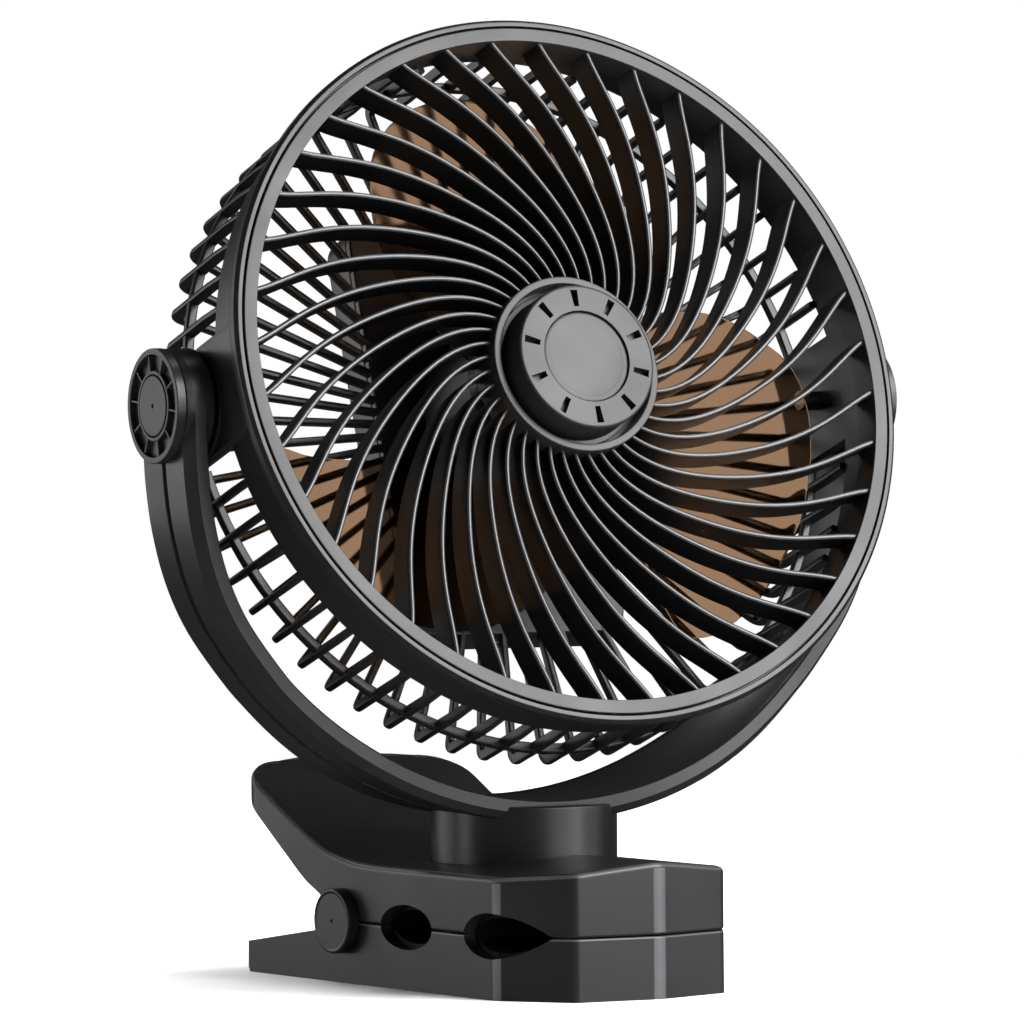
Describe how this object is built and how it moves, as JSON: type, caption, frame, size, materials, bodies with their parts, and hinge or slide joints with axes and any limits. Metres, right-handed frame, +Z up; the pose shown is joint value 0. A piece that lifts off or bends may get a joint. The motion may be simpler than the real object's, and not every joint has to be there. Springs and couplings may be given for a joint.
{
  "type": "clip fan",
  "caption": "Round fan head with swirled grille and smoked blades, tilting in a swivelling yoke on a sprung clamp with rubber-lined jaws.",
  "frame": {"origin": "on the flat underside of the lower jaw, straight below the swivel axis of the yoke", "axes": "+Z up along the swivel axis; -Y towards the clamp nose, +Y towards its handles; +X to the right seen from behind the clamp; the head faces -Y, turned 5.59 degrees towards -X and tilted up 18.66 degrees"},
  "size_m": [0.2492, 0.1714, 0.2914],
  "materials": {
    "black": "fine moulded texture, satin",
    "shell": "fine moulded texture, satin",
    "face": "satin moulded plastic",
    "pad": "dull soft rubber",
    "steel": "plain ground steel",
    "zinc": "bright zinc plate",
    "motor": "drawn sheet steel",
    "board": "green circuit board",
    "switch": "moulded",
    "smoked": "clear smoke-brown moulding, glossy"
  },
  "bodies": {
    "base": {"lower_jaw": "black", "lower_pad": "pad", "clamp_pin": "steel", "clamp_cap_left": "black", "clamp_cap_right": "black", "clamp_spring": "steel"},
    "top_jaw": {"upper_jaw": "black", "upper_pad": "pad", "swivel_bolt": "zinc"},
    "fork": {"yoke": "black", "swivel_washer": "zinc", "arm_cap_left": "black", "arm_disc_left": "black", "tilt_bolt_left": "zinc", "tilt_washer_left": "pad", "arm_cap_right": "black", "arm_disc_right": "black", "tilt_bolt_right": "zinc", "tilt_washer_right": "pad"},
    "head": {"front_grille": "face", "hub_cap": "face", "hub_disc": "face", "barrel": "shell", "rear_guard": "shell", "rear_cover": "shell", "cover_screw_1": "zinc", "cover_screw_2": "zinc", "cover_screw_3": "zinc", "cover_screw_4": "zinc", "control_board": "board", "dc_socket": "zinc", "speed_switch": "switch", "motor_can": "motor"},
    "rotor": {"fan_rotor": "smoked", "motor_shaft": "steel", "shaft_nut": "zinc"},
    "knob": {"speed_knob": "black"}
  },
  "joints": [
    {"name": "clamp_open", "type": "hinge", "parent": "base", "child": "top_jaw", "pos_m": [0, 0.0381, 0.0189], "axis": [-1, 0, 0], "range_deg": [0, 30], "stiffness_Nm_per_rad": 3, "springref_deg": -20.05, "deforming": ["clamp_spring"]},
    {"name": "head_swivel", "type": "hinge", "parent": "top_jaw", "child": "fork", "pos_m": [0, 0, 0.0372], "axis": [0, 0, 1], "range_deg": [-175, 175]},
    {"name": "head_tilt", "type": "hinge", "parent": "fork", "child": "head", "pos_m": [0, 0, 0.1756], "axis": [-0.9952, 0.0974, 0], "range_deg": [-90, 70]},
    {"name": "rotor_spin", "type": "hinge", "parent": "head", "child": "rotor", "pos_m": [0, 0, 0.1756], "axis": [-0.0923, -0.9429, 0.32], "continuous": true},
    {"name": "knob_turn", "type": "hinge", "parent": "head", "child": "knob", "pos_m": [0.00406, 0.04149, 0.16152], "axis": [0.0923, 0.9429, -0.32], "range_deg": [0, 150]}
  ]
}
